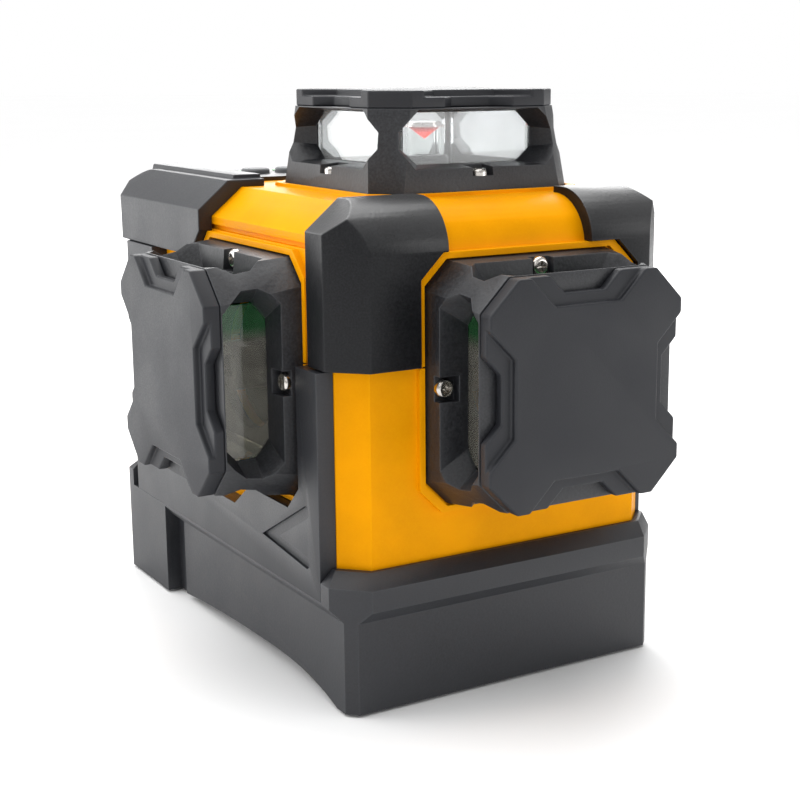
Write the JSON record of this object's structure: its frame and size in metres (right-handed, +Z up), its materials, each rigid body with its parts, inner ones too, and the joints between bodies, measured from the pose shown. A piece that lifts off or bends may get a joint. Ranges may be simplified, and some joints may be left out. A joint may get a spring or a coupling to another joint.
{
  "type": "self-levelling line laser",
  "caption": "Self-levelling 360 degree line laser: caged heads on top, front and left, gimbal pendulum with lock, rear battery, tripod thread.",
  "frame": {"origin": "centre of the tripod thread's mouth in the underside, on the plumb line where both vertical laser planes cross", "axes": "+Z up along the plumb line, +Y towards the battery at the rear, +X to the right seen from the front; the front head looks along -Y and the side head along -X"},
  "size_m": [0.121, 0.1715, 0.1491],
  "materials": {
    "black_abs": "fine spark-eroded grain",
    "black_tpu": "soft-touch matt grain",
    "yellow_abs": "satin",
    "grey_abs": "matt",
    "black_rubber": "matt",
    "grey_rubber": "matt",
    "brass": "turned",
    "nickel_steel": "nickel plated",
    "steel": "ground",
    "zinc": "die cast",
    "magnet": "nickel plated magnet",
    "dark_aluminium": "black anodised",
    "coated_glass": "clear, faint green coating",
    "clear_glass": "clear polished",
    "mirror": "silvered cone",
    "board": "green solder mask",
    "cell_wrap": "shrink wrap",
    "green_lens": "clear green"
  },
  "bodies": {
    "housing": {"base_tray": "black_abs", "rubber_feet": "black_rubber", "tripod_insert": "brass", "frame_screws": "nickel_steel", "lower_case": "yellow_abs", "upper_case": "yellow_abs", "left_side_skin": "black_tpu", "right_side_skin": "black_tpu", "front_left_bumper": "black_tpu", "front_right_bumper": "black_tpu", "rear_left_bumper": "black_tpu", "rear_right_bumper": "black_tpu", "gimbal_chassis": "grey_abs", "outer_pivot_bearings": "steel", "lock_pin_guide": "grey_abs", "damping_magnets": "magnet", "battery_bay": "black_abs", "battery_contacts": "brass", "main_board": "board", "keypad_board": "board", "keypad_panel": "grey_abs", "indicator_lenses": "green_lens", "charge_port": "black_abs", "top_cage_frame": "black_tpu", "top_guard_plate": "black_tpu", "top_window_panes": "coated_glass", "top_cage_screws": "nickel_steel", "front_cage_frame": "black_tpu", "front_guard_plate": "black_tpu", "front_window_panes": "coated_glass", "front_cage_screws": "nickel_steel", "left_cage_frame": "black_tpu", "left_guard_plate": "black_tpu", "left_window_panes": "coated_glass", "left_cage_screws": "nickel_steel"},
    "gimbal_ring": {"gimbal_ring": "zinc", "outer_pivot_pins": "steel", "inner_pivot_bearings": "steel"},
    "pendulum": {"pendulum_block": "zinc", "damping_weight": "brass", "inner_pivot_pins": "steel", "top_laser_barrel": "dark_aluminium", "top_head_glass": "clear_glass", "top_cone_mirror": "mirror", "front_laser_barrel": "dark_aluminium", "front_head_glass": "clear_glass", "front_cone_mirror": "mirror", "left_laser_barrel": "dark_aluminium", "left_head_glass": "clear_glass", "left_cone_mirror": "mirror"},
    "lock_slider": {"lock_slider": "black_abs"},
    "lock_pin": {"lock_pin": "steel"},
    "battery": {"battery_case": "black_abs", "battery_cells": "cell_wrap"},
    "battery_latch": {"battery_latch": "black_abs"},
    "port_cover": {"port_cover": "black_rubber"},
    "power_button": {"power_button": "grey_rubber"},
    "horizontal_button": {"horizontal_button": "grey_rubber"},
    "vertical_front_button": {"vertical_front_button": "grey_rubber"},
    "vertical_side_button": {"vertical_side_button": "grey_rubber"}
  },
  "joints": [
    {"name": "roll", "type": "hinge", "parent": "housing", "child": "gimbal_ring", "pos_m": [0, 0, 0.104], "axis": [0, 1, 0], "range_deg": [-4, 4]},
    {"name": "pitch", "type": "hinge", "parent": "gimbal_ring", "child": "pendulum", "pos_m": [0, 0, 0.104], "axis": [1, 0, 0], "range_deg": [-4, 4]},
    {"name": "lock_slide", "type": "slide", "parent": "housing", "child": "lock_slider", "axis": [0, 1, 0], "range_m": [0, 0.012]},
    {"name": "lock_pin_lift", "type": "slide", "parent": "housing", "child": "lock_pin", "axis": [0, 0, 1], "range_m": [0, 0.0048]},
    {"name": "battery_slide", "type": "slide", "parent": "housing", "child": "battery", "axis": [0, 1, 0], "range_m": [0, 0.06]},
    {"name": "latch_press", "type": "slide", "parent": "battery", "child": "battery_latch", "axis": [0, 0, -1], "range_m": [0, 0.002], "stiffness_N_per_m": 1500},
    {"name": "port_cover_hinge", "type": "hinge", "parent": "housing", "child": "port_cover", "pos_m": [0.0416, 0.0748, 0.0092], "axis": [0, 1, 0], "range_deg": [0, 110]},
    {"name": "power_press", "type": "slide", "parent": "housing", "child": "power_button", "axis": [0, 0, -1], "range_m": [0, 0.0008], "stiffness_N_per_m": 2500},
    {"name": "horizontal_press", "type": "slide", "parent": "housing", "child": "horizontal_button", "axis": [0, 0, -1], "range_m": [0, 0.0008], "stiffness_N_per_m": 2500},
    {"name": "vertical_front_press", "type": "slide", "parent": "housing", "child": "vertical_front_button", "axis": [0, 0, -1], "range_m": [0, 0.0008], "stiffness_N_per_m": 2500},
    {"name": "vertical_side_press", "type": "slide", "parent": "housing", "child": "vertical_side_button", "axis": [0, 0, -1], "range_m": [0, 0.0008], "stiffness_N_per_m": 2500}
  ],
  "couplings": [
    {"joint": "lock_pin_lift", "follows": "lock_slide", "ratio": 0.4}
  ]
}
